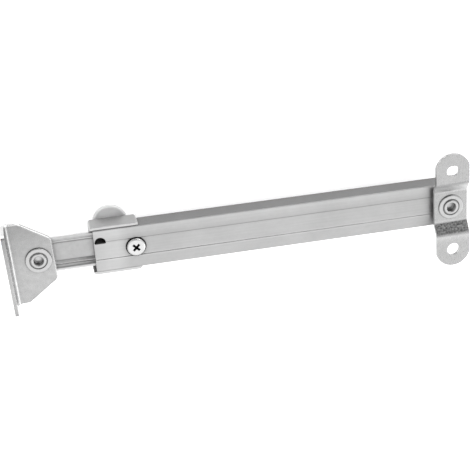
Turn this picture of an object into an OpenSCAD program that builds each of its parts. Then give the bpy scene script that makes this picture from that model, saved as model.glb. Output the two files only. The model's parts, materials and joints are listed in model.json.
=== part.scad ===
// Telescopic casement window stay: a slide bar runs in an aluminium rail, held by a screw brake.
// The hat-shaped strap screws to the window frame, the angle bracket to the sash.
// X runs along the rail from the frame strap to the sash bracket, and +Z is the mounting side.
// The origin is on the axis of the strap's round hole, on its mounting face.

/* [Frame strap] */
// Length over the rounded ends
strap_length = 55.6; // [52:0.2:64]
// Width
strap_width = 15.8; // [14:0.2:20]
// Sheet thickness
strap_t = 1.5; // [1:0.1:2]
// How far the middle is set back from the feet
strap_step = 3.2; // [2:0.1:4]
// Length of the flat middle, between its two folds
strap_flat = 15.6; // [14.4:0.2:18]
// Length along the strap of each sloping part
strap_ramp = 4.7; // [3.5:0.1:5.5]
// Inside radius of its folds
strap_bend_r = 2; // [0.5:0.1:2.4]
// Radius of the rounded ends
strap_end_r = 8.2; // [8:0.1:12]
// How far its ends and fixing holes sit off the pivot rivet
strap_shift = 0.8; // [0:0.1:1]
// Turn of the strap at rest
strap_turn = 1.5; // [-10:0.5:10]
// Distance between the round hole and the slot
fixing_spacing = 39.2; // [38.5:0.1:41]
// Diameter of the round fixing hole
fixing_hole_d = 6; // [4:0.1:7]
// Width of the fixing slot
fixing_slot_w = 4.9; // [4.2:0.1:5.4]
// Length of the fixing slot, across the strap
fixing_slot_l = 6; // [5.5:0.1:9]

/* [Rail] */
// Width of the rail's face
rail_width = 20; // [19.8:0.1:22]
// Depth of the rail
rail_depth = 9.3; // [9.3:0.1:11]
// Thickness of the face and its band
rail_wall = 1.4; // [1.2:0.1:1.5]
// Thickness of the sides and the back lips
rail_side = 1.3; // [1:0.1:1.4]
// Width of each back lip, from the outside of the rail
rail_lip = 3.5; // [2.8:0.1:3.7]
// Radius of the rail's long outer edges
rail_edge_r = 0.5; // [0.2:0.1:0.8]
// Radius of the rail's inner corners
rail_inner_r = 0.3; // [0.1:0.1:0.5]
// Width of the sunk band along the face
band_width = 8.4; // [7:0.1:9]
// Depth of the sunk band
band_depth = 0.25; // [0.15:0.05:0.6]
// Width of the slope at either side of the band
band_edge = 0.3; // [0.2:0.1:0.8]
// From the frame pivot to the rail's mouth
pivot_to_mouth = 164.4; // [150:1:200]
// From the frame pivot to the rail's other end
rail_tail = 7.6; // [6.5:0.1:12]
// Length at the mouth where the back lips are cut away
lip_cut = 16; // [14.5:0.1:20]

/* [Stop window] */
// From the mouth to the middle of the lanced window
window_inset = 2.8; // [2.7:0.1:4]
// From the rail's centre line to the straight side of the window
window_offset = 3.4; // [3:0.1:3.8]
// Length along the rail
window_length = 5; // [4:0.1:5]
// Height
window_height = 3.1; // [2.8:0.1:3.4]
// Radius of the corners on its straight side
window_corner_r = 0.5; // [0.2:0.1:0.6]
// Angle by which the tongue is pushed in
tongue_angle = 60; // [45:1:70]
// Thickness of the tongue
tongue_t = 0.9; // [0.6:0.1:1]
// Gap cut between the tongue and the window
tongue_cut = 0.2; // [0.1:0.1:0.4]

/* [Mouth housing] */
// Length of the housing
housing_length = 21.8; // [21:0.1:26]
// How far it stands out past the mouth
housing_overhang = 1.4; // [0.5:0.1:1.5]
// Wall
housing_wall = 1.4; // [1.2:0.1:2]
// How far its long edges stay behind the rail's face
housing_lap = 0.5; // [0.2:0.1:1.5]
// Radius of its outer edges
housing_edge_r = 1.4; // [0.8:0.1:1.6]
// Chamfer along its front edges
housing_chamfer = 0.2; // [0.1:0.1:0.7]
// Space between the rail's back and the housing's back wall
housing_space = 0.4; // [0.3:0.1:1]

/* [Lock knob] */
// Diameter of the knob
knob_d = 15.8; // [14:0.1:18]
// Thickness of the knob
knob_t = 2.8; // [2.6:0.1:4]
// From the mouth to the knob's axis
knob_inset = 8.9; // [8.5:0.1:9.5]
// From the rail's centre line to the knob's axis
knob_offset = 3.1; // [2.4:0.1:3.2]
// From the knob's axis to the middle of its disc
knob_throw = 5; // [4:0.1:5]
// Radius of the knob's edges
knob_edge_r = 0.6; // [0.3:0.1:1]
// Width of the raised rim
knob_rim = 1.1; // [0.8:0.1:1.5]
// Depth of the dish inside the rim
knob_dish = 0.5; // [0.3:0.1:0.6]
// Width of the boss around the stud's head
knob_boss = 0.9; // [0.6:0.1:1.2]
// Thread diameter of the lock stud
stud_d = 4; // [3.5:0.1:4]
// Diameter of the stud's head, moulded into the knob
stud_head_d = 5; // [4.6:0.1:5.2]
// Height of the stud's head
stud_head_h = 1.3; // [1:0.1:1.4]
// Diameter of the stud's point
stud_point_d = 2.4; // [2:0.1:2.8]
// Length of the stud's point
stud_point_l = 0.5; // [0.3:0.1:0.8]
// Thickness of the washer behind the knob
lock_washer_t = 0.6; // [0.4:0.1:1]
// Outer diameter of that washer
lock_washer_d = 9; // [8:0.1:10]
// Diameter of the threaded bush in the housing
bush_d = 6.4; // [6:0.1:7]
// Flange diameter of the bush
bush_flange_d = 8.6; // [8:0.1:9]
// Flange thickness of the bush
bush_flange_t = 0.9; // [0.6:0.1:1]

/* [Brake] */
// From the mouth to the brake screw
brake_inset = 18.4; // [18:0.1:19]
// Hole in the face round the screw's head
brake_hole_d = 9.2; // [9:0.1:10]
// Head diameter
brake_head_d = 8.4; // [7:0.1:8.6]
// Radius of the head's outer edge
brake_head_r = 0.9; // [0.5:0.1:1.2]
// How much its top is crowned
brake_head_crown = 0.35; // [0.1:0.05:0.5]
// How far the head stands out of the rail's face
brake_head_proud = 1.5; // [0.5:0.1:2]
// How far the underside of the head lies below the rail's face
brake_head_sunk = 0.8; // [0.5:0.1:0.9]
// Thread diameter
brake_screw_d = 4; // [3:0.1:4]
// Length of each arm of the cross recess
cross_arm = 2; // [1.5:0.05:2.2]
// Width of the arms
cross_width = 1.05; // [0.7:0.05:1.2]
// Diameter of the recess in the middle
cross_core_d = 1.7; // [1.5:0.1:2]
// Depth of the recess
cross_depth = 1.9; // [1:0.1:2]
// Turn of the recess away from the rail's length
cross_turn = 45; // [0:1:90]
// Outer diameter of the spring washer under the head
spring_washer_d = 7.6; // [6.5:0.1:7.8]
// Height of the spring washer
spring_washer_h = 0.7; // [0.6:0.1:0.8]
// Length of the shoe on the frame side of the screw
shoe_tail = 8; // [6:0.1:10]
// How far the shoe stays inside the mouth
shoe_inset = 1.2; // [0.8:0.1:2]
// Thickness of the brake pad
pad_t = 0.6; // [0.4:0.1:0.8]
// Length of the pad and the nut along the rail
nut_length = 8; // [7:0.1:8.4]
// Thickness of the nut
nut_t = 1.5; // [1.2:0.1:1.5]

/* [Slide bar] */
// Width over the lips
bar_width = 16.1; // [15.6:0.1:16.2]
// Sheet thickness
bar_t = 1.4; // [1:0.1:1.4]
// Width of each lip
bar_lip = 1.2; // [1:0.1:1.4]
// Depth of the trough
bar_trough = 2.7; // [2.2:0.1:2.8]
// Space between the bar and the rail's back lips
bar_space = 0.8; // [0.7:0.1:0.9]
// Inside radius of the folds
bar_bend_r = 0.4; // [0.2:0.1:0.5]
// Size of the crease rolled along either slope of the trough
bar_crease = 0.5; // [0.3:0.1:0.7]
// How far the bar can be drawn out
travel = 100; // [60:1:105]
// From the closed mouth to the sash pivot
mouth_to_sash = 24.8; // [24.6:0.1:30]
// Bar beyond the sash pivot
bar_tail = 6.5; // [5.5:0.1:8]
// Length of the end shoe
end_shoe_length = 12; // [10:0.5:16]
// Length of the end shoe past the end of the bar
end_shoe_cap = 4; // [2:0.5:5]
// Diameter of the rivet in the end shoe
shoe_rivet_d = 3; // [2.5:0.1:3.5]

/* [Sash bracket] */
// Length along the fold
sash_length = 38.8; // [36:0.2:39.2]
// How far its middle sits off the pivot rivet
sash_shift = 0.5; // [0:0.1:0.6]
// Sheet thickness
sash_t = 1.5; // [1.2:0.1:1.6]
// Inside radius of the fold
sash_bend_r = 1.6; // [1:0.1:2]
// From the sash pivot to the outside of the fixing leg
sash_back = 13.6; // [13:0.1:13.8]
// Height of the fixing leg, over the plate
sash_leg = 14.3; // [12:0.1:18]
// Turn of the bracket at rest
sash_turn = 2; // [-10:0.5:10]
// From the sash pivot to the plate's straight front edge
sash_front = 7.1; // [6.8:0.1:9]
// Length of that front edge, before its corners are rounded
sash_front_length = 19.6; // [15:0.2:22]
// From the sash pivot back to where the sloping sides start
sash_shoulder = 6.8; // [5:0.1:8]
// Radius where the sloping sides start
sash_shoulder_r = 1; // [0.5:0.1:3]
// Radius of the front corners
sash_corner_r = 3; // [1:0.1:4]
// Radius of the leg's corners
sash_leg_r = 2.4; // [1:0.1:4]
// Width of the rounding along the plate's edges
sash_round = 0.6; // [0.3:0.1:1]
// Distance between the leg's screw holes
sash_hole_spacing = 24; // [20:0.5:26]
// Diameter of the leg's screw holes
sash_hole_d = 4.6; // [4:0.1:5.5]
// From the leg's free edge to its screw holes
sash_hole_edge = 6; // [5:0.1:7]

/* [Rivets] */
// Shank diameter of both pivot rivets
rivet_d = 5.6; // [5:0.1:6]
// Flange diameter
rivet_flange_d = 11.6; // [11:0.1:12]
// Flange thickness
rivet_flange_t = 0.8; // [0.6:0.1:1]
// Diameter of the rolled collar
rivet_collar_d = 6.9; // [6.4:0.1:7.4]
// How far the collar stands over the flange
rivet_collar_h = 0.4; // [0.2:0.1:0.6]
// Depth and width of the groove round the collar
rivet_groove = 0.3; // [0.1:0.1:0.4]
// Radius of the rivets' edges
rivet_edge_r = 0.4; // [0.2:0.1:0.5]
// Diameter of the hollow
rivet_bore_d = 4.3; // [3.8:0.1:4.4]
// Diameter of the tail
rivet_tail_d = 7.8; // [7.2:0.1:8]
// Thickness of the tail
rivet_tail_t = 1; // [0.8:0.1:1.2]
// Depth of the hollow below the underside of the flange
rivet_bore_depth = 1.6; // [1:0.1:2]
// Thickness of the nylon washer between strap and rail
frame_washer_t = 2.1; // [1:0.1:3]
// Outer diameter of the nylon washer
frame_washer_d = 12; // [11:0.1:13]
// Thickness of the steel washers under the tails
backing_t = 0.6; // [0.4:0.1:0.8]
// Outer diameter of the steel washers
backing_d = 8; // [7.8:0.1:8.2]
// Front of the sash plate, in front of the rail's face
sash_plate_proud = 0.25; // [0:0.05:0.4]
// Flange diameter of the sash spacer
spacer_d = 12; // [11:0.1:13]
// Flange thickness of the sash spacer
spacer_flange_t = 1.2; // [0.8:0.1:1.4]

/* [Fits] */
// Radial clearance of a turning shank
running_fit = 0.05; // [0.02:0.01:0.08]
// Clearance between faces that turn or slide on each other
play = 0.1; // [0.05:0.01:0.15]
// Clearance of what slides inside the rail
rail_fit = 0.2; // [0.15:0.05:0.25]
// Gap between pieces fixed together
seat_gap = 0.02; // [0.01:0.01:0.05]
// Gap left at an end stop
stop_gap = 0.3; // [0.2:0.1:0.5]

/* [Hidden] */
$fn = 64;
fold_steps = 6;
corner_steps = 6;
over = 1;
small_chamfer = 0.5;
small_r = 0.1;

// Heights, from the strap's mounting face down
strap_mid_z = -strap_step;
strap_back_z = strap_mid_z - strap_t;
face_z = strap_back_z - frame_washer_t - 2 * play;
web_back_z = face_z - rail_wall - band_depth;
rail_back_z = face_z - rail_depth;
housing_in_z = rail_back_z - housing_space;
housing_back_z = housing_in_z - housing_wall;
bar_back_z = rail_back_z + rail_side + bar_space;
bar_web_z = bar_back_z + bar_t;
bar_front_z = bar_web_z + bar_trough;
bar_sunk = face_z - bar_front_z;
sash_plate_z = face_z + sash_plate_proud;
sash_under_z = sash_plate_z - sash_t;
tongue_low_z = face_z - band_depth - window_height * sin(tongue_angle) - tongue_t;
knob_top_z = housing_back_z - lock_washer_t - play;
knob_low_z = knob_top_z - knob_t;
pad_top_z = bar_back_z - play / 2;
nut_top_z = pad_top_z - pad_t;

// Places along and across the rail
fixing_hole_y = strap_shift + fixing_spacing / 2;
pivot_x = fixing_hole_y * sin(strap_turn);
pivot_y = -fixing_hole_y * cos(strap_turn);
mouth_x = pivot_to_mouth;
brake_x = mouth_x - brake_inset;
knob_x = mouth_x - knob_inset;
sash_x = mouth_x + mouth_to_sash;
shoe_end_x = brake_x - shoe_tail;
end_shoe_x = shoe_end_x - travel - stop_gap - end_shoe_length;
bar_end_x = end_shoe_x + end_shoe_cap;
shoe_rivet_x = (bar_end_x + end_shoe_x + end_shoe_length) / 2;

// Sizes that follow from others
rail_in = rail_width / 2 - rail_side;
lip_in = rail_width / 2 - rail_lip;
lip_top = rail_depth - rail_side;
trough_half = bar_width / 2 - bar_lip;
web_half = trough_half - bar_trough;
slot_w = brake_screw_d + 2 * stop_gap;
pocket_half = rail_width / 2 + seat_gap;
housing_half = pocket_half + housing_wall;
guide_half = rail_in - rail_fit;

function unit(v) = v / norm(v);
function left(v) = [-v[1], v[0]];
function spin(v, a) = [v[0] * cos(a) - v[1] * sin(a), v[0] * sin(a) + v[1] * cos(a)];
function turn(a, b) = atan2(a[0] * b[1] - a[1] * b[0], a * b);

// Points of the arc that rounds corner v, at distance out from the centre of a fillet of radius r
function corner(a, v, b, r, out, steps) =
    let(d = unit(v - a))
    let(w = turn(d, unit(b - v)))
    let(s = sign(w))
    let(c = v - d * r * tan(abs(w) / 2) + s * left(d) * r)
    [for (k = [0:steps]) c - s * left(spin(d, w * k / steps)) * out];

// Closed outline with a radius at each of its corners
function rounded(pts, radii, steps) =
    let(n = len(pts))
    [for (i = [0:n - 1])
        each radii[i] == 0
            ? [pts[i]]
            : corner(pts[(i + n - 1) % n], pts[i], pts[(i + 1) % n], radii[i], radii[i], steps)];

// One side of a folded sheet whose front follows pts: depth 0 is the front, depth t the back
function sheet_side(pts, t, r, depth, steps) =
    let(n = len(pts))
    [for (i = [0:n - 1])
        let(d = unit(i == 0 ? pts[1] - pts[0] : pts[i] - pts[i - 1]))
        each (i == 0 || i == n - 1)
            ? [pts[i] - left(d) * depth]
            : let(w = turn(d, unit(pts[i + 1] - pts[i])))
              let(front_r = w > 0 ? r : r + t)
              corner(pts[i - 1], pts[i], pts[i + 1], front_r,
                  w > 0 ? front_r + depth : front_r - depth, steps)];

// Outline of a folded sheet of thickness t with inside radius r
function sheet(pts, t, r, steps) =
    let(back = sheet_side(pts, t, r, t, steps))
    concat(sheet_side(pts, t, r, 0, steps), [for (i = [len(back) - 1:-1:0]) back[i]]);

// Both halves of an outline that is the same on either side of the centre line
function both_sides(half) = concat(half, [for (i = [len(half) - 1:-1:0]) [-half[i][0], half[i][1]]]);

// Moves what is drawn round the frame pivot's axis to its place
module from_pivot() {
    translate([pivot_x, pivot_y, 0])
        children();
}

// Draws a section in Y and Z, and runs it along X
module along_x(x0, x1, z = 0) {
    translate([x0, 0, z])
        rotate([90, 0, 90])
            linear_extrude(x1 - x0)
                children();
}

// Upright cylinder between two heights
module post(x, y, z0, z1, d) {
    translate([x, y, z0])
        cylinder(h = z1 - z0, d = d);
}

// Flat ring between two heights
module ring(x, y, z0, z1, outer_d, inner_d) {
    translate([x, y, z0])
        difference() {
            cylinder(h = z1 - z0, d = outer_d);
            translate([0, 0, -over])
                cylinder(h = z1 - z0 + 2 * over, d = inner_d);
        }
}

// Strap screwed to the window frame: two feet, and a middle set back to clear the rivet
module frame_bracket() {
    fold = strap_flat / 2;
    foot = fold + strap_ramp;
    tip = strap_length / 2;
    slot_run = fixing_slot_l - fixing_slot_w;
    from_pivot() color([0.76, 0.77, 0.78])
        rotate([0, 0, strap_turn])
            difference() {
                intersection() {
                    along_x(-strap_width / 2, strap_width / 2)
                        polygon(sheet([[strap_shift - tip, 0], [-foot, 0], [-fold, strap_mid_z],
                            [fold, strap_mid_z], [foot, 0], [strap_shift + tip, 0]],
                            strap_t, strap_bend_r, fold_steps));
                    translate([0, strap_shift, strap_back_z - over])
                        linear_extrude(strap_step + strap_t + 2 * over)
                            strap_outline();
                }
                post(0, 0, strap_back_z - over, strap_mid_z + over, rivet_d + 2 * seat_gap);
                post(0, fixing_hole_y, -strap_t - over, over, fixing_hole_d);
                translate([0, fixing_hole_y - fixing_spacing, -strap_t - over])
                    linear_extrude(strap_t + 2 * over) {
                        square([slot_run, fixing_slot_w], center = true);
                        for (side = [-1, 1])
                            translate([side * slot_run / 2, 0])
                                circle(d = fixing_slot_w);
                    }
            }
}

module strap_outline() {
    intersection() {
        square([strap_width, strap_length], center = true);
        union() {
            square([2 * strap_end_r, strap_length - 2 * strap_end_r], center = true);
            for (side = [-1, 1])
                translate([0, side * (strap_length / 2 - strap_end_r)])
                    circle(r = strap_end_r);
        }
    }
}

// Tubular pivot rivet: flange and rolled collar on top, hollow shank, tail spread underneath
module pivot_rivet(flange_z, tail_z) {
    flange_r = rivet_flange_d / 2;
    collar_r = rivet_collar_d / 2;
    bore_r = rivet_bore_d / 2;
    tail_r = rivet_tail_d / 2;
    top = flange_z + rivet_flange_t;
    collar_top = top + rivet_collar_h;
    groove_z = top - rivet_groove;
    floor_z = flange_z - rivet_bore_depth;
    e = rivet_edge_r;
    rotate_extrude()
        polygon(rounded([[0, floor_z], [bore_r, floor_z], [bore_r, collar_top], [collar_r, collar_top],
            [collar_r, groove_z], [collar_r + rivet_groove, groove_z],
            [collar_r + 2 * rivet_groove, top], [flange_r, top], [flange_r, flange_z],
            [rivet_d / 2, flange_z], [rivet_d / 2, tail_z], [tail_r, tail_z],
            [tail_r, tail_z - rivet_tail_t], [0, tail_z - rivet_tail_t]],
            [0, e, e, e, 0, 0, small_r, e, 0, 0, 0, 0, e, 0], fold_steps));
}

module frame_rivet() {
    from_pivot() color([0.8, 0.8, 0.81])
        pivot_rivet(strap_mid_z, web_back_z - play - backing_t);
}

module frame_washer() {
    from_pivot() color([0.9, 0.9, 0.88])
        ring(0, 0, face_z + play, strap_back_z - play, frame_washer_d, rivet_d + 2 * seat_gap);
}

module frame_backing_washer() {
    from_pivot() color([0.7, 0.7, 0.71])
        ring(0, 0, web_back_z - play - backing_t, web_back_z - play, backing_d,
            rivet_d + 2 * seat_gap);
}

// Half of the rail's section, from the middle of its face's inside round to the outside
function rail_half() =
    let(half = rail_width / 2)
    let(band = band_width / 2)
    let(pts = [[0, -rail_wall - band_depth], [band, -rail_wall - band_depth],
        [band + band_edge, -rail_wall], [rail_in, -rail_wall], [rail_in, -lip_top],
        [lip_in, -lip_top], [lip_in, -rail_depth], [half, -rail_depth], [half, 0],
        [band + band_edge / 2, 0], [band - band_edge / 2, -band_depth], [0, -band_depth]])
    let(radii = [0, 0, 0, rail_inner_r, rail_inner_r, 0, small_r, rail_edge_r, rail_edge_r,
        small_r, small_r, 0])
    [for (i = [0:len(pts) - 1])
        each radii[i] == 0
            ? [pts[i]]
            : corner(pts[i - 1], pts[i], pts[i + 1], radii[i], radii[i], 3)];

// Extruded aluminium rail with its pivot hole, brake hole and lanced stop window
module rail() {
    from_pivot() color([0.8, 0.81, 0.82]) {
        difference() {
            along_x(-rail_tail, mouth_x, face_z)
                polygon(both_sides(rail_half()));
            post(0, 0, web_back_z - over, face_z + over, rivet_d + 2 * running_fit);
            post(brake_x, 0, web_back_z - over / 2, face_z + over, brake_hole_d);
            translate([mouth_x - window_inset, -window_offset, web_back_z - over / 2])
                linear_extrude(rail_wall + band_depth + over)
                    window_outline(0);
            translate([mouth_x - lip_cut, -rail_in, rail_back_z - over])
                cube([lip_cut + over, 2 * rail_in, rail_side + over]);
        }
        stop_tongue();
    }
}

// Flat on one side and round on the other, drawn from the middle of the flat side
module window_outline(inset) {
    r = window_length / 2 - inset;
    h = window_height - inset;
    c = min(window_corner_r, h - r);
    polygon(rounded([[-r, 0], [r, 0], [r, -h], [-r, -h]], [c, c, r, r], 2 * corner_steps));
}

// Tongue cut from the window and pushed into the rail, in front of the brake shoe
module stop_tongue() {
    root_z = face_z - band_depth - play;
    root_w = window_length - 2 * tongue_cut - 2 * window_corner_r;
    intersection() {
        translate([mouth_x - window_inset, -window_offset, root_z])
            rotate([tongue_angle, 0, 0])
                translate([0, 0, -tongue_t])
                    linear_extrude(tongue_t)
                        union() {
                            window_outline(tongue_cut);
                            translate([-root_w / 2, 0])
                                square([root_w, tongue_t / 2]);
                        }
        translate([mouth_x - window_inset - window_length, -rail_in, bar_web_z])
            cube([2 * window_length, 2 * rail_in, root_z - bar_web_z]);
    }
}

// Pressed housing round the back of the rail's mouth
module mouth_housing() {
    x0 = mouth_x + housing_overhang - housing_length;
    x1 = mouth_x + housing_overhang;
    front_z = face_z - housing_lap;
    r = housing_edge_r;
    c = housing_chamfer;
    from_pivot() color([0.74, 0.75, 0.76])
        difference() {
            hull()
                for (x = [x0 + r, x1 - r], y = [-housing_half + r, housing_half - r]) {
                    translate([x, y, housing_back_z + r])
                        sphere(r = r, $fn = 24);
                    translate([x, y, housing_back_z + r])
                        cylinder(h = front_z - c - housing_back_z - r, r = r, $fn = 24);
                    translate([x, y, housing_back_z + r])
                        cylinder(h = front_z - housing_back_z - r, r = r - c, $fn = 24);
                }
            translate([x0 - over, -pocket_half, housing_in_z])
                cube([housing_length + 2 * over, 2 * pocket_half, front_z - housing_in_z + over]);
            post(knob_x, -knob_offset, housing_back_z - over, housing_in_z + over,
                bush_d + 2 * seat_gap);
        }
}

// Threaded bush riveted into the housing's back wall
module lock_bush() {
    from_pivot() color([0.72, 0.66, 0.45])
        translate([knob_x, -knob_offset, 0])
            difference() {
                union() {
                    post(0, 0, housing_back_z, housing_in_z + over / 2, bush_d);
                    post(0, 0, housing_in_z, housing_in_z + bush_flange_t, bush_flange_d);
                }
                post(0, 0, housing_back_z - over, housing_in_z + bush_flange_t + over,
                    stud_d + 2 * running_fit);
            }
}

module lock_washer() {
    from_pivot() color([0.7, 0.7, 0.71])
        ring(knob_x, -knob_offset, housing_back_z - lock_washer_t, housing_back_z,
            lock_washer_d, stud_d + 2 * running_fit);
}

// Nylon knob: a disc off the centre of its stud, with a rim and a dish on either face
module lock_knob() {
    from_pivot() color([0.88, 0.88, 0.86])
        difference() {
            translate([knob_x, -knob_offset - knob_throw, knob_low_z])
                rotate_extrude()
                    polygon(rounded([[0, 0], [knob_d / 2, 0], [knob_d / 2, knob_t], [0, knob_t]],
                        [0, knob_edge_r, knob_edge_r, 0], corner_steps));
            knob_recess(knob_top_z - knob_dish, knob_top_z + over);
            knob_recess(knob_low_z - over, knob_low_z + knob_dish);
            post(knob_x, -knob_offset, knob_low_z, knob_top_z + over, stud_d + 2 * seat_gap);
            post(knob_x, -knob_offset, knob_low_z - over, knob_low_z + stud_head_h + seat_gap,
                stud_head_d + 2 * seat_gap);
        }
}

// The dish inside the knob's rim, with the boss round the stud left standing
module knob_recess(z0, z1) {
    difference() {
        post(knob_x, -knob_offset - knob_throw, z0, z1, knob_d - 2 * knob_rim);
        post(knob_x, -knob_offset, z0 - over, z1 + over, stud_head_d + 2 * knob_boss);
    }
}

// Stud that turns with the knob and presses its point on the slide bar
module lock_stud() {
    point_z = bar_back_z - stop_gap;
    from_pivot() color([0.8, 0.8, 0.81])
        translate([knob_x, -knob_offset, 0])
            rotate_extrude()
                polygon([[0, knob_low_z], [stud_head_d / 2, knob_low_z],
                    [stud_head_d / 2, knob_low_z + stud_head_h],
                    [stud_d / 2, knob_low_z + stud_head_h],
                    [stud_d / 2, point_z - stud_point_l - (stud_d - stud_point_d) / 4],
                    [stud_point_d / 2, point_z - stud_point_l], [stud_point_d / 2, point_z],
                    [0, point_z]]);
}

// Pan-head screw with a cross recess, clamping the shoe and the nut on the slide bar
module brake_screw() {
    r = brake_head_d / 2;
    top = face_z + brake_head_proud;
    under = face_z - brake_head_sunk;
    tip = housing_in_z + stop_gap;
    from_pivot() color([0.9, 0.9, 0.91])
        translate([brake_x, 0, 0])
            difference() {
                rotate_extrude()
                    polygon(concat([[0, under], [0, tip]],
                        [[brake_screw_d / 2 - small_chamfer, tip],
                            [brake_screw_d / 2, tip + small_chamfer], [brake_screw_d / 2, under]],
                        rounded([[brake_screw_d / 2, under], [r, under],
                            [r, top - brake_head_crown], [0, top]],
                            [0, small_r, brake_head_r, 0], corner_steps)));
                for (arm = [0, 90])
                    rotate([0, 0, cross_turn + arm])
                        translate([-cross_arm, -cross_width / 2, top - cross_depth])
                            cube([2 * cross_arm, cross_width, cross_depth + over]);
                post(0, 0, top - cross_depth, top + over, cross_core_d);
            }
}

// Conical spring washer between the brake screw's head and the shoe's collar
module brake_spring_washer() {
    top = face_z - brake_head_sunk;
    low = top - spring_washer_h;
    inner = brake_screw_d / 2 + running_fit;
    outer = spring_washer_d / 2;
    edge = spring_washer_h / 2;
    from_pivot() color([0.6, 0.6, 0.62])
        translate([brake_x, 0, 0])
            rotate_extrude()
                polygon([[inner, top], [inner + edge, top], [outer, low + edge], [outer, low],
                    [outer - edge, low], [inner, top - edge]]);
}

// Shoe that fills the bar's trough behind the rail's face, with a collar in the rail's hole
module brake_shoe() {
    front = web_back_z - play - face_z;
    foot = play - bar_sunk - bar_trough;
    wide = trough_half - play;
    narrow = web_half - play / 2;
    cut_x = mouth_x - window_inset - window_length / 2 - play;
    from_pivot() color([0.12, 0.12, 0.13])
        difference() {
            union() {
                along_x(shoe_end_x, mouth_x - shoe_inset, face_z)
                    polygon(both_sides([[wide, front], [wide, -bar_sunk], [narrow, foot]]));
                post(brake_x, 0, bar_front_z, face_z - brake_head_sunk - spring_washer_h,
                    brake_hole_d - 2 * rail_fit);
            }
            post(brake_x, 0, bar_web_z - over, face_z, brake_screw_d + 2 * running_fit);
            translate([cut_x, -rail_in, tongue_low_z - play])
                cube([mouth_x - cut_x, rail_in - window_offset + tongue_t + stop_gap, rail_depth]);
        }
}

module brake_pad() {
    from_pivot() color([0.35, 0.33, 0.3])
        difference() {
            translate([brake_x - nut_length / 2, -web_half, nut_top_z])
                cube([nut_length, 2 * web_half, pad_t]);
            post(brake_x, 0, nut_top_z - over, pad_top_z + over, brake_screw_d + 2 * running_fit);
        }
}

// Threaded plate that can't turn between the rail's back lips
module brake_nut() {
    width = 2 * (lip_in - rail_fit);
    from_pivot() color([0.68, 0.69, 0.7])
        difference() {
            translate([brake_x - nut_length / 2, -width / 2, nut_top_z - nut_t])
                cube([nut_length, width, nut_t]);
            post(brake_x, 0, nut_top_z - nut_t - over, nut_top_z + over,
                brake_screw_d + 2 * running_fit);
        }
}

// Front face of the bar's section, from lip to lip
function bar_path(reach, lift) =
    [[-reach, lift - bar_sunk], [-trough_half, lift - bar_sunk],
        [-web_half, lift - bar_sunk - bar_trough], [web_half, lift - bar_sunk - bar_trough],
        [trough_half, lift - bar_sunk], [reach, lift - bar_sunk]];

// Folded steel bar with a long slot for the brake screw
module slide_bar() {
    slot_x0 = brake_x - travel - slot_w / 2;
    slot_x1 = brake_x + slot_w / 2;
    from_pivot() color([0.73, 0.74, 0.75])
        difference() {
            along_x(bar_end_x, sash_x + bar_tail, face_z)
                polygon(sheet(bar_path(bar_width / 2, 0), bar_t, bar_bend_r, fold_steps));
            translate([slot_x0 + slot_w / 2, -slot_w / 2, bar_back_z - over])
                cube([slot_x1 - slot_x0 - slot_w, slot_w, bar_t + 2 * over]);
            for (x = [slot_x0 + slot_w / 2, slot_x1 - slot_w / 2])
                post(x, 0, bar_back_z - over, bar_web_z + over, slot_w);
            post(sash_x, 0, bar_back_z - over, bar_web_z + over, rivet_d + 2 * seat_gap);
            post(shoe_rivet_x, 0, bar_back_z - over, bar_web_z + over,
                shoe_rivet_d + 2 * seat_gap);
            for (side = [-1, 1])
                along_x(bar_end_x - over, sash_x + bar_tail + over, face_z)
                    translate([side * (trough_half - bar_trough / 2), -bar_sunk - bar_trough / 2])
                        square(bar_crease, center = true);
        }
}

// Nylon shoe that guides the inner end of the bar in the rail
module end_shoe() {
    front = web_back_z - rail_fit - face_z;
    back = rail_fit - lip_top;
    from_pivot() color([0.12, 0.12, 0.13])
        difference() {
            along_x(end_shoe_x, end_shoe_x + end_shoe_length, face_z)
                polygon([[-guide_half, back], [guide_half, back],
                    [guide_half, front], [-guide_half, front]]);
            along_x(bar_end_x - seat_gap, end_shoe_x + end_shoe_length + over, face_z)
                polygon(sheet(bar_path(rail_width / 2, seat_gap), bar_t + 2 * seat_gap,
                    bar_bend_r, fold_steps));
            post(shoe_rivet_x, 0, face_z - rail_depth, face_z, shoe_rivet_d + 2 * seat_gap);
        }
}

module shoe_rivet() {
    from_pivot() color([0.75, 0.75, 0.76])
        post(shoe_rivet_x, 0, face_z - lip_top + rail_fit, web_back_z - rail_fit, shoe_rivet_d);
}

// Stepped nylon spacer: its neck stands in the trough, its flange carries the sash plate
module sash_spacer() {
    neck_r = web_half - play;
    top = sash_under_z - play;
    inner = rivet_d / 2 + seat_gap;
    from_pivot() color([0.9, 0.9, 0.88])
        translate([sash_x, 0, 0])
            rotate_extrude()
                polygon([[inner, bar_web_z], [neck_r, bar_web_z], [neck_r, top - spacer_flange_t],
                    [spacer_d / 2, top - spacer_flange_t], [spacer_d / 2, top], [inner, top]]);
}

module sash_rivet() {
    from_pivot() color([0.8, 0.8, 0.81])
        translate([sash_x, 0, 0])
            pivot_rivet(sash_plate_z + play, bar_back_z - backing_t);
}

module sash_backing_washer() {
    from_pivot() color([0.7, 0.7, 0.71])
        ring(sash_x, 0, bar_back_z - backing_t, bar_back_z, backing_d, rivet_d + 2 * seat_gap);
}

// Outline of the sash plate, with its edge moved in by inset
function sash_outline(inset) =
    let(slope = unit([-sash_shoulder - sash_front, sash_length / 2 - sash_front_length / 2]))
    let(lean = tan(turn([0, 1], slope) / 2))
    let(fall = tan(turn(slope, [-1, 0]) / 2))
    let(front = sash_front - inset)
    let(side = sash_length / 2 - inset)
    rounded([[front, -sash_front_length / 2 + inset * lean], [front, sash_front_length / 2 - inset * lean],
        [-sash_shoulder - inset * fall, side], [-sash_back, side],
        [-sash_back, -side], [-sash_shoulder - inset * fall, -side]],
        [sash_corner_r - inset / 2, sash_corner_r - inset / 2, sash_shoulder_r, 0, 0, sash_shoulder_r],
        corner_steps);

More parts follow.
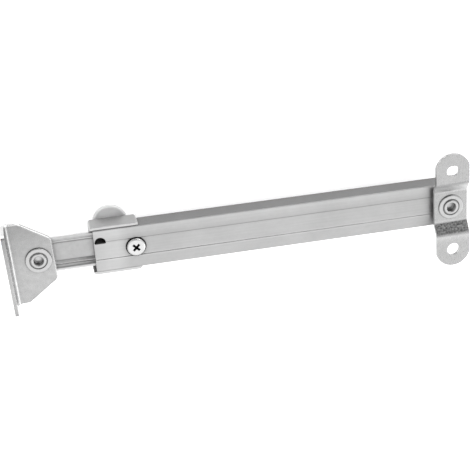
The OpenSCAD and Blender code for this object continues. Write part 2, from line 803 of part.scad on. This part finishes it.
// Angle bracket screwed to the sash: a plate over the bar, and a leg turned up towards the window
module sash_bracket() {
    from_pivot() color([0.75, 0.76, 0.77])
        translate([sash_x, 0, 0])
            rotate([0, 0, sash_turn])
                difference() {
                    translate([0, sash_shift, 0]) {
                        intersection() {
                            sash_angle();
                            sash_trim();
                        }
                        sash_plate();
                    }
                    post(0, 0, sash_under_z - over, sash_plate_z + over, rivet_d + 2 * running_fit);
                    for (side = [-1, 1])
                        translate([0, sash_shift + side * sash_hole_spacing / 2,
                                sash_under_z + sash_leg - sash_hole_edge])
                            rotate([0, 90, 0])
                                cylinder(h = sash_back + over, d = sash_hole_d);
                }
}

// The fold and the leg, the full length of the bracket
module sash_angle() {
    half = sash_length / 2;
    root = sash_back - sash_t - sash_bend_r;
    translate([0, half, 0])
        rotate([90, 0, 0])
            linear_extrude(sash_length)
                polygon(sheet([[root, sash_plate_z], [sash_back - sash_t, sash_plate_z],
                    [sash_back - sash_t, sash_under_z + sash_leg]], sash_t, sash_bend_r, 8));
}

// Rounds the free corners of the leg
module sash_trim() {
    half = sash_length / 2;
    tip = sash_under_z + sash_leg;
    low = sash_under_z - over;
    along_x(-over, sash_back + over)
        polygon(rounded([[-half, low], [half, low], [half, tip], [-half, tip]],
            [0, 0, sash_leg_r, sash_leg_r], corner_steps));
}

// The plate, with its upper edge rounded
module sash_plate() {
    cut = sash_back - sash_t - sash_bend_r;
    intersection() {
        mirror([1, 0, 0])
            hull()
                for (a = [0:30:90])
                    translate([0, 0, sash_under_z])
                        linear_extrude(sash_t - sash_round * (1 - sin(a)))
                            polygon(sash_outline(sash_round * (1 - cos(a))));
        translate([-sash_front - over, -sash_length, sash_under_z - over])
            cube([sash_front + over + cut, 2 * sash_length, sash_t + 2 * over]);
    }
}

frame_bracket();
frame_rivet();
frame_washer();
frame_backing_washer();
rail();
mouth_housing();
lock_bush();
lock_washer();
lock_knob();
lock_stud();
brake_screw();
brake_spring_washer();
brake_shoe();
brake_pad();
brake_nut();
slide_bar();
end_shoe();
shoe_rivet();
sash_spacer();
sash_rivet();
sash_backing_washer();
sash_bracket();
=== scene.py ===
import json
import math

import bpy
from mathutils import Matrix, Vector


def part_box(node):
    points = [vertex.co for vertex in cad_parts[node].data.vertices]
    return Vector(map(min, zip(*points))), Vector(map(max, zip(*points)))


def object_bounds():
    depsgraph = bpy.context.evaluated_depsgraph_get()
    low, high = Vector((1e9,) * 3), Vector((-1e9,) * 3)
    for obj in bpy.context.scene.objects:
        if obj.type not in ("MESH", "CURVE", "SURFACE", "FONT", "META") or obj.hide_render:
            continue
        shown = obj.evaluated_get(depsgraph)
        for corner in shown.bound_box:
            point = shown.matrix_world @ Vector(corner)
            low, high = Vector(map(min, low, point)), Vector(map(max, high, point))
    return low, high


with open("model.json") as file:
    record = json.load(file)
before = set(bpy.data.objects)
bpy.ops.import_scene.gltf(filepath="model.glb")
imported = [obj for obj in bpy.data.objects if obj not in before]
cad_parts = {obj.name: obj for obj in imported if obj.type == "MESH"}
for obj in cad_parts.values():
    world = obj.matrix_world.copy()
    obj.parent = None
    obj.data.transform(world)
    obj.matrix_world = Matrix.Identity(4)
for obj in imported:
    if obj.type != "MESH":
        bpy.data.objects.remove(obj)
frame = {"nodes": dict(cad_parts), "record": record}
cad_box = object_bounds()
scene = bpy.context.scene
nodes = frame["nodes"]

# The row's +X runs along the rail towards its mouth, which is to the left in the picture, its -Y up
# the picture, and its +Z towards the viewer.
MM = 0.001
rail_low, rail_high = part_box("rail")


def on_rail(from_mouth):
    """A point on the middle line of the rail's face, so many mm from its mouth."""
    return Vector((rail_high.x - from_mouth * MM, (rail_low.y + rail_high.y) / 2, rail_high.z))


# Short calls for shader nodes

NOISE_RANGE = (0.3, 0.7)        # what a noise mostly keeps to
BEVEL_SAMPLES = 4
CREVICE_SAMPLES = 6
OPEN = 0.9                      # share of a place's sky above which it is no crevice
CURVE_TOP = 2.0                 # largest factor that a tone curve can hold
# Shares of the normal along an axis, between which a factor changes
ALONG_Y = (0.5, 0.95)           # from the face to the sides
ALONG_Z = (0.84, 0.97)          # from the bends to the flats
UP_PICTURE = (-0.5, -0.2)       # from faces that lean up the picture to all others
OVER_EDGE = (0.08, 0.35)        # from the face to its rounded edge
ON_FACE = (0.2, 0.6)            # from the sheet's cut edge to its face


class Nodes:
    """A node tree, with short calls for the nodes that are used here."""

    def __init__(self, tree):
        self.tree = tree

    def add(self, kind, **inputs):
        """A new node whose inputs are given by name, with _ for a space."""
        node = self.tree.nodes.new(kind)
        for name, value in inputs.items():
            self.put(node, name.replace("_", " "), value)
        return node

    def put(self, node, key, value):
        """Links the value to an input if it is a socket, and sets the input to it otherwise."""
        if isinstance(value, bpy.types.NodeSocket):
            self.tree.links.new(value, node.inputs[key])
        else:
            node.inputs[key].default_value = value

    def calc(self, operation, a, b=0.0):
        node = self.tree.nodes.new("ShaderNodeMath")
        node.operation = operation
        self.put(node, 0, a)
        self.put(node, 1, b)
        return node.outputs[0]

    def dot(self, a, b):
        node = self.tree.nodes.new("ShaderNodeVectorMath")
        node.operation = "DOT_PRODUCT"
        self.put(node, 0, a)
        self.put(node, 1, b)
        return node.outputs["Value"]

    def span(self, value, low, high, to_low, to_high, smooth=False):
        """Carries low to high over to to_low to to_high, and stays inside them."""
        node = self.add("ShaderNodeMapRange", Value=value, From_Min=low, From_Max=high,
                        To_Min=to_low, To_Max=to_high)
        if smooth:
            node.interpolation_type = "SMOOTHSTEP"
        return node.outputs["Result"]

    def coords(self, kind="Object"):
        return self.add("ShaderNodeTexCoord").outputs[kind]

    def axis(self, vector, name):
        return self.add("ShaderNodeSeparateXYZ", Vector=vector).outputs[name]

    def noise(self, vector, scale, detail, rough):
        node = self.add("ShaderNodeTexNoise", Vector=vector, Scale=scale, Detail=detail, Roughness=rough)
        return node.outputs["Fac"]

    def vary(self, noise, low, high):
        """A noise carried over to the range from low to high."""
        return self.span(noise, *NOISE_RANGE, low, high)

    def weighted(self, a, share_a, b, share_b):
        return self.calc("ADD", self.calc("MULTIPLY", a, share_a), self.calc("MULTIPLY", b, share_b))

    def tint(self, factor, dark, light):
        """A colour between two. A Mix node's colours are its inputs 6 and 7 and its output 2."""
        node = self.tree.nodes.new("ShaderNodeMix")
        node.data_type = "RGBA"
        self.put(node, 0, factor)
        self.put(node, 6, (*dark, 1.0))
        self.put(node, 7, (*light, 1.0))
        return node.outputs[2]

    def shade(self, colour, factor):
        node = self.tree.nodes.new("ShaderNodeVectorMath")
        node.operation = "SCALE"
        self.put(node, 0, colour)
        self.put(node, "Scale", factor)
        return node.outputs["Vector"]

    def rounded(self, radius):
        """The surface's normal, turned softly over its edges."""
        node = self.add("ShaderNodeBevel", Radius=radius)
        node.samples = BEVEL_SAMPLES
        return node.outputs["Normal"]

    def bump(self, height, strength, relief, edge):
        node = self.add("ShaderNodeBump", Height=height, Strength=strength, Distance=relief,
                        Normal=self.rounded(edge))
        return node.outputs["Normal"]

    def crevices(self, reach, dark, shut):
        """Painted shade: a factor of 1 in the open, falling to dark in grooves, recesses and gaps."""
        node = self.add("ShaderNodeAmbientOcclusion", Distance=reach)
        node.samples = CREVICE_SAMPLES
        return self.span(node.outputs["AO"], shut, OPEN, dark, 1.0)

    def sides(self, dark):
        """Painted shade: a factor of 1 on faces that look along the row's Z, falling to dark on the
        sides.
        """
        facing = self.calc("ABSOLUTE", self.axis(self.coords("Normal"), "Y"))
        return self.span(facing, *ALONG_Y, 1.0, dark)

    def tilted(self, more):
        """A factor of 1 on faces that look along the row's Z, rising to more on leaning ones."""
        facing = self.calc("ABSOLUTE", self.axis(self.coords("Normal"), "Z"))
        return self.span(facing, *ALONG_Z, more, 1.0)

    def leaning(self):
        """A factor of 0, rising to 1 on faces that lean up the picture."""
        return self.span(self.axis(self.coords("Normal"), "Y"), *UP_PICTURE, 1.0, 0.0)

    def painted_edge_highlight(self, radius, way, bright):
        """Painted highlight: a factor of 1, rising to bright along those edges of the face that lie this
        way.
        """
        node = self.add("ShaderNodeVectorTransform", Vector=self.rounded(radius))
        node.vector_type = "NORMAL"
        node.convert_from = "WORLD"
        node.convert_to = "OBJECT"
        normal = node.outputs["Vector"]
        over_edge = self.span(self.dot(normal, way), *OVER_EDGE, 0.0, bright - 1)
        on_face = self.span(self.axis(normal, "Z"), *ON_FACE, 0.0, 1.0)
        return self.calc("ADD", self.calc("MULTIPLY", over_edge, on_face), 1.0)

    def tones(self, stops, axis):
        """A factor that follows (place, factor) stops along an axis, from 0 to 1 of the piece. It paints
        light and shade in bands.
        """
        node = self.add("ShaderNodeFloatCurve", Value=self.axis(self.coords("Generated"), axis))
        points = node.mapping.curves[0].points
        for place, factor in stops[1:-1]:
            points.new(place, factor / CURVE_TOP)
        for end in (0, -1):
            place, factor = stops[end]
            points[end].location = (place, factor / CURVE_TOP)
        for point in points:
            point.handle_type = "VECTOR"
        node.mapping.update()
        return self.calc("MULTIPLY", node.outputs["Value"], CURVE_TOP)


# Materials

# Noises: waves per metre, detail and roughness
SLOW = (55.0, 2.0, 0.55)
PATCHES = (420.0, 3.0, 0.6)
DENTS = (1100.0, 2.0, 0.5)
STREAKS = (1500.0, 4.0, 0.6)
FINE = (2600.0, 4.0, 0.6)
FLOW = (120.0, 3.0, 0.55)
SKIN = (3200.0, 3.0, 0.55)
SPECKS = (40.0, 2.0, 0.55)

METAL_BUMP = 0.35
METAL_SWING = 0.05                  # how far the roughness of a metal varies either way
FINE_DEPTH = 0.05                   # of the fine texture that every metal has
# The blotches paint a mottled reflection on the bends that lean up the picture
BLOTCHES = (0.35, 0.65)             # the part of the dents' noise that makes blotches
BEND_ROUGHER = 1.25                 # a bend's roughness over that of the flat sheet
# The painted highlight on edges: its width, and the way that the edges lie
EDGE_HIGHLIGHT_WIDTH = 0.0008               # m
EDGE_HIGHLIGHT_WAY = (-0.22, -0.97, 0.0)    # up the picture and a little to its right
PLASTIC_BUMP = 0.25
PLASTIC_SWING = 0.06
PLASTIC_SHADES = (0.96, 1.03)       # darkest and lightest over the stated colour
PLASTIC_LIGHTEST = 0.95
PLASTIC_RELIEF = 0.0001             # m
PLASTIC_EDGE = 0.0002               # m
GLOW_DEPTH = 0.004                  # m that light goes into clear plastic, times the scale
GLOW_SCALE = 0.5


def new_material(name):
    material = bpy.data.materials.new(name)
    material.use_nodes = True
    material.node_tree.nodes.clear()
    return material, Nodes(material.node_tree)


def grey(value, warm=0.0):
    return (value * (1 + warm), value, value * (1 - warm))


def metal(name, base, rough, warm=0.0, spread=0.04, cloud=0.03, grain=(1.0, 1.0, 1.0), grain_depth=0.12,
          pits=0.0, dents=0.0, relief=0.00012, edge=0.00015, crevice=0.35, reach=0.0016, shut=0.35,
          side=1.0, across=None, along=None, bent=1.0, blotch=0.0, edge_highlight=1.0):
    """Plated or anodised metal, with a grain, faint pits, soft edges and painted shade in its crevices.

    base, rough, warm   colour, roughness, and how far the colour leans to red
    spread, cloud       how far the colour varies with the grain, and in patches
    grain, grain_depth  how the grain is stretched, and how deep it is
    pits, dents         depth of the fine pits and of the shallow dents
    relief, edge        height of all these, and the rounding of edges, in m
    crevice, reach      darkest factor of the painted shade in crevices, and how far off their walls may be, in m
    shut                share of a place's sky that is still open where it is darkest
    side                factor of painted shade on faces that look along the row's Y
    across, along       stops of painted light and shade along the row's Y and X
    bent, blotch        how much deeper the dents of the bends are, and how far the colour of the
                    bends that lean up the picture varies, in blotches of painted reflection
    wear                factor of the painted highlight on the edges that lie up the picture"""
    material, t = new_material(name)
    coords = t.coords()
    stretched = t.add("ShaderNodeMapping", Vector=coords, Scale=grain).outputs["Vector"]
    streak = t.noise(stretched, *STREAKS)
    fine = t.noise(coords, *FINE)
    dent = t.noise(coords, *DENTS)

    tone = t.weighted(t.noise(coords, *SLOW), 0.5, streak, 0.5)
    colour = t.tint(t.vary(tone, 0.0, 1.0), grey(base * (1 - spread), warm),
                    grey(base * (1 + spread), warm))
    colour = t.shade(colour, t.vary(t.noise(coords, *PATCHES), 1 - cloud, 1 + cloud))
    # Painted shade in grooves, recesses and gaps between parts
    colour = t.shade(colour, t.crevices(reach, crevice, shut))
    # Painted shade on the faces that look along the row's Y
    if side != 1.0:
        colour = t.shade(colour, t.sides(side))
    # Painted light and shade in bands across and along the piece
    if across:
        colour = t.shade(colour, t.tones(across, "Y"))
    if along:
        colour = t.shade(colour, t.tones(along, "X"))
    # Painted mottled reflection on the bends that lean up the picture
    if blotch:
        spots = t.span(dent, *BLOTCHES, 1 - blotch, 1 + blotch)
        colour = t.shade(colour, t.calc("POWER", spots, t.leaning()))
    # Painted highlight along the edges that lie up the picture
    if edge_highlight != 1.0:
        colour = t.shade(colour, t.painted_edge_highlight(EDGE_HIGHLIGHT_WIDTH, EDGE_HIGHLIGHT_WAY, edge_highlight))

    roughness = t.vary(t.weighted(streak, 0.6, fine, 0.4), rough - METAL_SWING, rough + METAL_SWING)
    height = t.weighted(streak, grain_depth, fine, FINE_DEPTH + pits)
    if dents:
        dent_height = t.calc("MULTIPLY", dent, dents)
        if bent != 1.0:
            dent_height = t.calc("MULTIPLY", dent_height, t.tilted(bent))
            roughness = t.calc("MULTIPLY", roughness, t.tilted(BEND_ROUGHER))
        height = t.calc("ADD", height, dent_height)

    shader = t.add("ShaderNodeBsdfPrincipled", Base_Color=colour, Metallic=1.0, Roughness=roughness,
                   Normal=t.bump(height, METAL_BUMP, relief, edge))
    t.add("ShaderNodeOutputMaterial", Surface=shader.outputs["BSDF"])
    return material


def plastic(name, base, rough, subsurface=0.0, warm=0.0):
    """Moulded plastic: an even colour with faint flow marks and a fine matt skin."""
    material, t = new_material(name)
    coords = t.coords()
    flow = t.noise(coords, *FLOW)
    skin = t.noise(coords, *SKIN)
    darker, lighter = PLASTIC_SHADES
    colour = t.tint(t.vary(flow, 0.0, 1.0), grey(base * darker, warm),
                    grey(min(base * lighter, PLASTIC_LIGHTEST), warm))
    height = t.weighted(flow, 0.5, skin, 0.2)
    shader = t.add("ShaderNodeBsdfPrincipled", Base_Color=colour,
                   Roughness=t.vary(skin, rough - PLASTIC_SWING, rough + PLASTIC_SWING),
                   Normal=t.bump(height, PLASTIC_BUMP, PLASTIC_RELIEF, PLASTIC_EDGE))
    if subsurface:
        t.put(shader, "Subsurface Weight", subsurface)
        t.put(shader, "Subsurface Radius", (GLOW_DEPTH, GLOW_DEPTH, GLOW_DEPTH))
        t.put(shader, "Subsurface Scale", GLOW_SCALE)
    t.add("ShaderNodeOutputMaterial", Surface=shader.outputs["BSDF"])
    return material


# How a grain is stretched: drawn out along the row's X, or a little along its Y
DRAWN = (0.02, 1.0, 1.0)
ROLLED = (1.0, 0.2, 1.0)

# The upper strip of the rail's face has painted light outside and painted shade by the band. The line at
# 0.71 is a painted highlight on the lower edge of the band.
RAIL_ACROSS = ((0.0, 1.12), (0.10, 1.06), (0.2, 0.98), (0.28, 0.9), (0.3, 1.0), (0.66, 1.0),
               (0.69, 1.1), (0.71, 1.6), (0.73, 1.1), (0.76, 1.0), (1.0, 1.0))
# The rail has painted light by its mouth
RAIL_ALONG = ((0.0, 1.0), (0.91, 1.0), (0.94, 1.15), (0.97, 1.15), (1.0, 1.05))
# The strap has painted highlights along its bends, and painted shade between the two lower ones
STRAP_ACROSS = ((0.0, 1.0), (0.27, 1.0), (0.3, 1.45), (0.342, 1.55), (0.357, 1.0), (0.6, 1.0),
                (0.615, 1.12), (0.63, 0.84), (0.72, 0.84), (0.735, 1.2), (0.77, 1.05), (0.8, 1.0),
                (1.0, 1.0))
# The angle has a painted highlight on its upper edge and painted shade below it
ANGLE_ACROSS = ((0.0, 1.3), (0.018, 1.3), (0.028, 0.7), (0.25, 0.86), (0.5, 0.97), (0.75, 1.0),
                (1.0, 0.98))
# The bar's two flanks have painted light, which makes them lighter than its web
BAR_ACROSS = ((0.0, 1.2), (0.07, 1.1), (0.08, 1.6), (0.2, 1.6), (0.24, 1.0), (0.74, 1.0),
              (0.78, 1.4), (1.0, 1.5))

# In these looks, crevice, side, across, along, blotch and wear paint light and shade into the colour
METALS = {
    "strap_steel": dict(base=0.465, rough=0.27, spread=0.05, cloud=0.05, grain=ROLLED, grain_depth=0.1,
                        pits=0.1, dents=0.45, relief=0.00035, crevice=0.5, reach=0.0006,
                        across=STRAP_ACROSS, bent=3.4, blotch=0.5),
    "sash_steel": dict(base=0.465, rough=0.27, spread=0.07, cloud=0.07, grain=ROLLED, grain_depth=0.1,
                       pits=0.1, dents=0.35, relief=0.0003, crevice=0.5, across=ANGLE_ACROSS, edge_highlight=2.1),
    "rivet_steel": dict(base=0.56, rough=0.30, grain_depth=0.04, crevice=0.15),
    "plain_steel": dict(base=0.55, rough=0.34),
    "rail_aluminium": dict(base=0.48, rough=0.38, spread=0.09, cloud=0.02, grain=DRAWN,
                           grain_depth=0.3, crevice=0.1, reach=0.0026, shut=0.45, side=0.37,
                           across=RAIL_ACROSS, along=RAIL_ALONG),
    "housing_steel": dict(base=0.68, rough=0.45, grain_depth=0.03, pits=0.08, edge=0.0005, side=0.54),
    "bush_brass": dict(base=0.5, rough=0.3, warm=0.3),
    "screw_steel": dict(base=0.72, rough=0.28, grain_depth=0.03, crevice=0.01, reach=0.003, shut=0.62),
    "bar_steel": dict(base=0.47, rough=0.36, cloud=0.07, grain=DRAWN, grain_depth=0.08, dents=0.4,
                      crevice=0.6, across=BAR_ACROSS),
}
PLASTICS = {
    "nylon": dict(base=0.92, rough=0.38, subsurface=0.6),
    "black_acetal": dict(base=0.025, rough=0.4),
    "friction_pad": dict(base=0.06, rough=0.75, warm=0.1),
}
# The sash angle is of the strap's steel, with its own painted light, painted shade and painted edge
# highlight
OWN_MATERIAL = {"sash_bracket": "sash_steel"}

materials = {name: metal(name, **look) for name, look in METALS.items()}
materials.update({name: plastic(name, **look) for name, look in PLASTICS.items()})
for part in frame["record"]["subparts"]:
    slots = nodes[part["node"]].data.materials
    slots.clear()
    slots.append(materials[OWN_MATERIAL.get(part["node"], part["material_slot"])])


# Camera, as fitted to the photograph

PHOTO_SIZE = 470                            # pixels
FOCAL_LENGTH = 1138.695                     # pixels
SENSOR = 36.0                               # mm
YAW, PITCH, ROLL = 10.1618, 24.5763, 3.6194     # degrees
EYE = Vector((-16.3184, -3.2563, 515.92))   # mm from the point aimed at, in the camera's own axes
AIM_FROM_MOUTH = 80.0                       # mm
CLIP = (0.01, 20.0)                         # m

turn = (Matrix.Rotation(math.radians(ROLL), 3, "Z") @ Matrix.Rotation(math.radians(PITCH), 3, "X")
        @ Matrix.Rotation(math.radians(YAW), 3, "Y"))
half_turn = Matrix(((-1, 0, 0), (0, -1, 0), (0, 0, 1)))
to_row = half_turn @ turn.transposed()
camera_data = bpy.data.cameras.new("camera")
camera_data.sensor_width = SENSOR
camera_data.lens = FOCAL_LENGTH / PHOTO_SIZE * SENSOR
camera_data.clip_start, camera_data.clip_end = CLIP
camera = bpy.data.objects.new("camera", camera_data)
camera.matrix_world = (Matrix.Translation(on_rail(AIM_FROM_MOUTH) + to_row @ EYE * MM)
                       @ to_row.to_4x4())
scene.collection.objects.link(camera)
scene.camera = camera


# Floor

FLOOR_SIZE = 6.0            # m
FLOOR_X = 0.08              # m
FLOOR_GREYS = (0.93, 0.95)
FLOOR_ROUGHNESS = 0.8
FLOOR_GLOW = 0.57           # lifts the floor to white where it is seen, and leaves the shadow on it

bpy.ops.mesh.primitive_plane_add(size=FLOOR_SIZE, location=(FLOOR_X, 0, cad_box[0][2]))
floor = bpy.context.object
floor.name = "floor"
floor_material, t = new_material("floor")
darker, lighter = FLOOR_GREYS
matt = t.add("ShaderNodeBsdfPrincipled", Roughness=FLOOR_ROUGHNESS,
             Base_Color=t.tint(t.noise(t.coords(), *SPECKS), grey(darker), grey(lighter)))
path = t.add("ShaderNodeLightPath").outputs
seen = t.calc("MAXIMUM", t.calc("MAXIMUM", path["Is Camera Ray"], path["Is Glossy Ray"]),
              path["Is Transmission Ray"])
glow = t.add("ShaderNodeEmission", Strength=t.calc("MULTIPLY", seen, FLOOR_GLOW))
both = t.tree.nodes.new("ShaderNodeAddShader")
t.put(both, 0, matt.outputs["BSDF"])
t.put(both, 1, glow.outputs["Emission"])
t.add("ShaderNodeOutputMaterial", Surface=both.outputs["Shader"])
floor.data.materials.append(floor_material)


# Light

KEY_PLACE = Vector((-0.05, 0.45, 0.85))     # m
KEY_SIZE = (1.0, 0.8)                       # m
KEY_POWER = 0.6                             # W
KEY_AIM_FROM_MOUTH = 75.0                   # mm

key_data = bpy.data.lights.new("key", "AREA")
key_data.shape = "RECTANGLE"
key_data.size, key_data.size_y = KEY_SIZE
key_data.energy = KEY_POWER
key = bpy.data.objects.new("key", key_data)
key.location = KEY_PLACE
key.rotation_mode = "QUATERNION"
key.rotation_quaternion = (on_rail(KEY_AIM_FROM_MOUTH) - KEY_PLACE).to_track_quat("-Z", "Y")
scene.collection.objects.link(key)

# A light tent, bright all round and dimmer towards the top of the picture. Each lobe has the way it
# lies in, the cosines between which it rises, and the strengths that it rises from and to.
TENT = ((0.1, 0.75, 0.65), -0.8, 0.5, 0.45, 0.9)
CAMERA_PATCH = ((-0.12, -0.66, 0.74), 0.85, 0.98, 1.0, 0.02)    # dark, where a camera stands
WALLS = (
    ((-0.4, -0.9, 0.12), 0.91, 0.995, 0.0, 2.0),    # low, past the top of the picture
    ((-0.62, -0.75, 0.2), 0.9, 0.995, 0.0, 1.6),    # and round to its right
    ((-0.72, 0.42, 0.56), 0.93, 0.995, 0.0, 1.7),   # at the right, for the angle's fold
    ((0.35, 0.4, 0.85), 0.75, 0.995, 0.0, 0.16),    # faint and broad, overhead
)
FOOT = ((0, 0, 1), 0.2, 0.42, 1.0, 0.0)             # white, like the floor that it stands on

world = bpy.data.worlds.new("studio")
scene.world = world
world.use_nodes = True
sky = Nodes(world.node_tree)
way_looked = sky.coords("Generated")


def lobe(way, low, high, dim, bright):
    """Strength that goes from dim to bright as the way looked comes round to this one."""
    return sky.span(sky.dot(way_looked, Vector(way).normalized()), low, high, dim, bright, smooth=True)


strength = sky.calc("MULTIPLY", lobe(*TENT), lobe(*CAMERA_PATCH))
for wall in WALLS:
    strength = sky.calc("ADD", strength, lobe(*wall))
strength = sky.calc("MAXIMUM", strength, lobe(*FOOT))
background = world.node_tree.nodes["Background"]
sky.put(background, "Strength", strength)
sky.put(background, "Color", (1.0, 1.0, 1.0, 1.0))
scene.view_settings.view_transform = "Standard"
